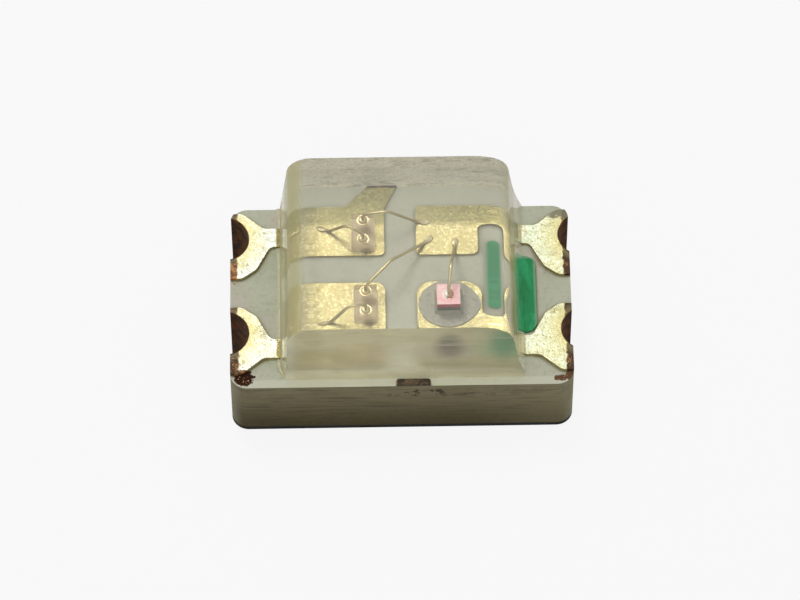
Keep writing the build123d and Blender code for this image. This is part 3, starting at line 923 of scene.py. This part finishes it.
class Recipe(Graph):
    """A Geometry Nodes tree with named inputs."""

    def __init__(self, name):
        self.group = bpy.data.node_groups.new(name, "GeometryNodeTree")
        super().__init__(self.group)
        for direction in ("INPUT", "OUTPUT"):
            self.group.interface.new_socket(
                "Geometry", in_out=direction, socket_type="NodeSocketGeometry"
            )

    def inputs(self, **kinds):
        """The geometry that comes in, then a number, seed or material for each name."""
        for name, kind in kinds.items():
            self.group.interface.new_socket(
                name.replace("_", " "), in_out="INPUT", socket_type="NodeSocket" + kind
            )
        start = self.node("NodeGroupInput")
        return [start] + [start.also(name.replace("_", " ")) for name in kinds]

    def finish(self, geometry, material):
        solid = self.node("GeometryNodeRealizeInstances", {}, {"Geometry": geometry})
        clad = self.node("GeometryNodeSetMaterial", {}, {"Geometry": solid, "Material": material})
        self.node("NodeGroupOutput", {}, {0: clad})
        return self

    def join(self, *parts):
        joined = self.tree.nodes.new("GeometryNodeJoinGeometry")
        for part in reversed(parts):
            self.tree.links.new(part.socket, joined.inputs[0])
        return Signal(self, joined.outputs[0])

    def made_from(self, mesh, name, **values):
        """The plain mesh that this tree makes of another, with its inputs set by identifier."""
        holder = in_scene(name, mesh)
        modifier = holder.modifiers.new("recipe", "NODES")
        modifier.node_group = self.group
        keys = {
            item.name: item.identifier
            for item in self.group.interface.items_tree if item.in_out == "INPUT"
        }
        for key, value in values.items():
            modifier[keys[key.replace("_", " ")]] = value
        holder.update_tag()
        graph = bpy.context.evaluated_depsgraph_get()
        made = bpy.data.meshes.new_from_object(holder.evaluated_get(graph))
        holder.modifiers.clear()
        bpy.data.objects.remove(holder)
        made.name = name
        return made


def wire_recipe():
    """A round wire with eased bends along a path, a squashed ball at its start and a flat stitch."""
    r = Recipe("bond wire")
    path, thickness, ball, ball_height, bend, material = r.inputs(
        Thickness="Float", Ball="Float", Ball_height="Float", Bend="Float", Material="Material",
    )
    run = r.node("GeometryNodeMeshToCurve", {}, {"Mesh": path})
    bent = r.node(
        "GeometryNodeFilletCurve", {"mode": "POLY"},
        {"Curve": run, "Radius": bend, "Limit Radius": True, "Count": 9},
    )
    ring = r.node(
        "GeometryNodeCurvePrimitiveCircle", {}, {"Resolution": 16, "Radius": thickness * 0.5}
    )
    wire = r.node(
        "GeometryNodeCurveToMesh", {}, {"Curve": bent, "Profile Curve": ring, "Fill Caps": True}
    )
    start, end = (
        r.node(
            "GeometryNodeSampleCurve", {"mode": "FACTOR"}, {"Curves": run, "Factor": place},
            output="Position",
        )
        for place in (0.0, 1.0)
    )
    bead = r.node("GeometryNodeMeshUVSphere", {}, {"Segments": 24, "Rings": 12, "Radius": 1.0})
    ball_size = r.node(
        "ShaderNodeCombineXYZ", {}, {"X": ball * 0.5, "Y": ball * 0.5, "Z": ball_height * 0.5}
    )
    squashed = r.node(
        "GeometryNodeTransform", {}, {"Geometry": bead, "Translation": start, "Scale": ball_size}
    )
    stitch_size = r.node(
        "ShaderNodeCombineXYZ", {}, {axis: thickness * s for axis, s in zip("XYZ", STITCH)}
    )
    turned = r.node(
        "FunctionNodeAlignRotationToVector", {"axis": "X"}, {"Vector": end.also("Tangent")}
    )
    stitch = r.node("GeometryNodeTransform", {}, {
        "Geometry": bead, "Translation": end, "Rotation": turned, "Scale": stitch_size,
    })
    smooth = r.node(
        "GeometryNodeSetShadeSmooth", {}, {"Geometry": r.join(wire, squashed, stitch)}
    )
    return r.finish(smooth, material)


def burr_recipe():
    """Torn chips of copper strewn over a patch, lying flat, each of its own size and turn."""
    r = Recipe("burrs")
    patch, density, size, seed, material = r.inputs(
        Density="Float", Size="Float", Seed="Int", Material="Material",
    )
    spots = r.node(
        "GeometryNodeDistributePointsOnFaces", {},
        {"Mesh": patch, "Density": density, "Seed": seed}, output="Points",
    )
    chip = r.node("GeometryNodeMeshIcoSphere", {}, {"Radius": size, "Subdivisions": 1})
    shape = r.node(
        "FunctionNodeRandomValue", {"data_type": "FLOAT_VECTOR"},
        {0: (0.5, 0.25, 0.15), 1: (1.3, 0.7, 0.4), "Seed": seed},
    )
    turn = r.node(
        "FunctionNodeRandomValue", {"data_type": "FLOAT_VECTOR"},
        {0: (-0.2, -0.2, -1.2), 1: (0.2, 0.2, 1.2), "Seed": seed + 1},
    )
    strewn = r.node(
        "GeometryNodeInstanceOnPoints", {},
        {"Points": spots, "Instance": chip, "Rotation": turn, "Scale": shape},
    )
    return r.finish(strewn, material)


def patch_mesh(patches):
    """Flat patches from their limits in x and y and their height, in mm."""
    points, faces = [], []
    for left, right, front, back, height in patches:
        first = len(points)
        points += [
            (x * MM, y * MM, height * MM)
            for x, y in ((left, front), (right, front), (right, back), (left, back))
        ]
        faces.append(tuple(range(first, first + 4)))
    mesh = bpy.data.meshes.new("patches")
    mesh.from_pydata(points, [], faces)
    return mesh


def wire_path(contact, stitch, sizes):
    """The points that a wire is strung along, from the middle of its ball to its stitch."""
    low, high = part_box(contact)
    land_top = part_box("common_terminal")[1].z
    start = Vector(((low.x + high.x) / 2, (low.y + high.y) / 2, high.z))
    end = Vector((stitch[0] * MM, stitch[1] * MM, land_top))
    run = Vector((end.x - start.x, end.y - start.y, 0))
    above = start.z + BALL_TOP
    crest = start + run * sizes.crest_at
    landing = end - run.normalized() * LANDING * MM
    points = [
        start + Vector((0, 0, WIRE_START)),
        Vector((start.x, start.y, above + sizes.shoulder)),
        Vector((crest.x, crest.y, above + sizes.crest)),
        Vector((landing.x, landing.y, land_top + sizes.thickness / 2)),
        end + Vector((0, 0, sizes.thickness / 4)),
    ]
    mesh = bpy.data.meshes.new("path")
    mesh.from_pydata(points, [(i, i + 1) for i in range(len(points) - 1)], [])
    return mesh


# ---- operators ----


class CHIP_OT_board(bpy.types.Operator):
    """Finish the laminate, the printed marks and the tie bar"""

    bl_idname = "chip.board"
    bl_label = "Board and Marks"

    def execute(self, context):
        dress(("substrate",), laminate_finish())
        dress(("polarity_mark", "resist_bar"), resist_finish())
        dress(("tie_bar_stub",), copper_finish())
        return {"FINISHED"}


class CHIP_OT_terminals(bpy.types.Operator):
    """Plate the four terminals and strew the burrs that the saw left"""

    bl_idname = "chip.terminals"
    bl_label = "Terminals"

    def execute(self, context):
        dress(TERMINALS, plate_finish())
        sizes, recipe = context.scene.chip_burrs, burr_recipe()
        for name, patches, material in (
            ("bright_burrs", BRIGHT_TEARS, fresh_copper_finish()),
            ("dark_burrs", DARK_TEARS, bpy.data.materials["bare_copper"]),
        ):
            mesh = recipe.made_from(
                patch_mesh(patches), name, Density=sizes.density, Size=sizes.size,
                Seed=sizes.seed, Material=material,
            )
            add_piece(name, mesh)
        return {"FINISHED"}


class CHIP_OT_dies(bpy.types.Operator):
    """Finish the three chips, what holds them and their contacts"""

    bl_idname = "chip.dies"
    bl_label = "Chips"

    def execute(self, context):
        dress(("red_die",), red_chip_finish())
        dress(("green_glue", "blue_glue"), glue_finish())
        dress(("red_paste",), paste_finish())
        dress(CONTACTS, contact_finish())
        clear = clear_chip_finish()
        for node in ("green_die", "blue_die"):
            wear(add_piece("sapphire_" + node, chip_mesh(node), (node,)), clear)
        return {"FINISHED"}


class CHIP_OT_wires(bpy.types.Operator):
    """String the five gold bond wires"""

    bl_idname = "chip.wires"
    bl_label = "Bond Wires"

    def execute(self, context):
        sizes = context.scene.chip_wires
        recipe, gold = wire_recipe(), wire_finish()
        for node, (contact, stitch) in WIRE_RUNS.items():
            path = wire_path(contact, stitch, sizes)
            mesh = recipe.made_from(
                path, "round_" + node, Thickness=sizes.thickness, Ball=sizes.ball,
                Ball_height=sizes.ball_height, Bend=sizes.bend, Material=gold,
            )
            add_piece("round_" + node, mesh, (node,))
        return {"FINISHED"}


class CHIP_OT_lens(bpy.types.Operator):
    """Mould the clear resin lens over the chips and wires"""

    bl_idname = "chip.lens"
    bl_label = "Lens"

    def execute(self, context):
        mesh = lens_mesh(context.scene.chip_lens)
        piece = add_piece("moulded_lens", mesh, ("lens",))
        front = sawn_resin_finish(
            "sawn_resin_front", passing=0.97, frosting=0.33, glowing=0.30, stained=0.05,
            within_seen=1.0,
        )
        back = sawn_resin_finish(
            "sawn_resin_back", passing=0.70, frosting=0.64, glowing=0.40, stained=0.62,
        )
        wear(piece, moulded_resin_finish(), front, back)
        return {"FINISHED"}


class CHIP_OT_stage(bpy.types.Operator):
    """Set the pale floor, the soft lights and the camera"""

    bl_idname = "chip.stage"
    bl_label = "Stage"

    def execute(self, context):
        stage = context.scene.chip_stage
        self.floor(stage)
        self.backdrop(stage)
        self.lamp(stage)
        self.camera(stage)
        return {"FINISHED"}

    @staticmethod
    def seen(graph):
        """1 for rays that show the background as it is: to the camera, in metal and through resin."""
        path = graph.node("ShaderNodeLightPath", output="Is Camera Ray")
        return graph.largest(path, path.also("Is Glossy Ray"), path.also("Is Transmission Ray"))

    def floor(self, stage):
        """A floor that shows as the background, shaded by the object, and is clear from below."""
        mesh = bpy.data.meshes.new("floor")
        corners = ((-1, -1), (1, -1), (1, 1), (-1, 1))
        mesh.from_pydata(
            [(x * FLOOR_REACH, y * FLOOR_REACH, 0) for x, y in corners], [], [(0, 1, 2, 3)],
        )
        floor = in_scene("floor", mesh)
        f = Finish("floor")
        even, shaded = (
            (*[c * share for c in stage.background], 1)
            for share in (1 - FLOOR_SHADED, FLOOR_SHADED)
        )
        cloth = f.node("ShaderNodeBsdfDiffuse", {}, {"Color": (*CLOTH, 1)})
        shown = f.node("ShaderNodeAddShader", {}, {
            0: f.node("ShaderNodeEmission", {}, {"Color": even, "Strength": 1.0}),
            1: f.node("ShaderNodeBsdfDiffuse", {}, {"Color": shaded}),
        })
        above, below = f.mix(cloth, shown, self.seen(f)), f.node("ShaderNodeBsdfTransparent")
        underneath = f.node("ShaderNodeNewGeometry", output="Backfacing")
        wear(floor, f.done(f.mix(above, below, underneath)))

    def backdrop(self, stage):
        """The same pale colour all round where it shows, and an even light elsewhere."""
        world = bpy.data.worlds.new("studio")
        world.use_nodes = True
        bpy.context.scene.world = world
        g = Graph(world.node_tree)
        g.tree.nodes.clear()
        shown = g.node("ShaderNodeBackground", {}, {"Color": (*stage.background, 1), "Strength": 1.0})
        even = g.node("ShaderNodeBackground", {}, {"Color": (1, 1, 1, 1), "Strength": stage.fill})
        both = g.node("ShaderNodeMixShader", {}, {0: self.seen(g), 1: even, 2: shown})
        g.node("ShaderNodeOutputWorld", {}, {"Surface": both})

    def lamp(self, stage):
        """A soft round lamp behind the object, to its left and above."""
        a, e = KEY_AZIMUTH, KEY_ELEVATION
        away = Vector((-math.sin(a) * math.cos(e), math.cos(a) * math.cos(e), math.sin(e)))
        lamp = bpy.data.lights.new("key", "AREA")
        lamp.shape, lamp.size, lamp.energy = "DISK", KEY_SIZE, stage.key
        holder = in_scene("key", lamp)
        holder.location = away * KEY_DISTANCE
        holder.rotation_euler = (-away).to_track_quat("-Z", "Y").to_euler()

    def camera(self, stage):
        """A long lens in front of the object and well above it."""
        a, e, roll = stage.camera_azimuth, stage.camera_elevation, stage.camera_roll
        ahead = Vector((math.sin(a) * math.cos(e), math.cos(a) * math.cos(e), -math.sin(e)))
        across = Vector((math.cos(a), -math.sin(a), 0))
        up = across.cross(ahead)
        right = across * math.cos(roll) + up * math.sin(roll)
        up = up * math.cos(roll) - across * math.sin(roll)
        data = bpy.data.cameras.new("camera")
        data.lens, data.sensor_width = stage.camera_lens, 36
        data.clip_start, data.clip_end = 1 * MM, 10
        camera = in_scene("camera", data)
        turn = Matrix((right, up, -ahead)).transposed()
        camera.matrix_world = Matrix.Translation(AIM - ahead * stage.camera_distance) @ turn.to_4x4()
        bpy.context.scene.camera = camera
        bpy.context.scene.view_settings.view_transform = "Standard"


OPERATORS = (
    CHIP_OT_board, CHIP_OT_terminals, CHIP_OT_dies, CHIP_OT_wires, CHIP_OT_lens, CHIP_OT_stage,
)


class CHIP_PT_panel(bpy.types.Panel):
    bl_idname = "CHIP_PT_panel"
    bl_label = "Chip LED"
    bl_space_type = "VIEW_3D"
    bl_region_type = "UI"
    bl_category = "Chip LED"

    def draw(self, context):
        for operator in OPERATORS:
            self.layout.operator(operator.bl_idname)
        for group in GROUPS:
            settings = getattr(context.scene, group)
            column = self.layout.column(align=True)
            for name in settings.bl_rna.properties.keys():
                if name not in ("rna_type", "name"):
                    column.prop(settings, name)


def register():
    for name, group in GROUPS.items():
        bpy.utils.register_class(group)
        setattr(bpy.types.Scene, name, PointerProperty(type=group))
    for cls in (*OPERATORS, CHIP_PT_panel):
        bpy.utils.register_class(cls)


def unregister():
    for cls in reversed((*OPERATORS, CHIP_PT_panel)):
        bpy.utils.unregister_class(cls)
    for name, group in GROUPS.items():
        delattr(bpy.types.Scene, name)
        bpy.utils.unregister_class(group)


def main():
    register()
    bpy.ops.chip.board()
    bpy.ops.chip.terminals()
    bpy.ops.chip.dies()
    bpy.ops.chip.wires()
    bpy.ops.chip.lens()
    bpy.ops.chip.stage()


if __name__ == "__main__":
    main()
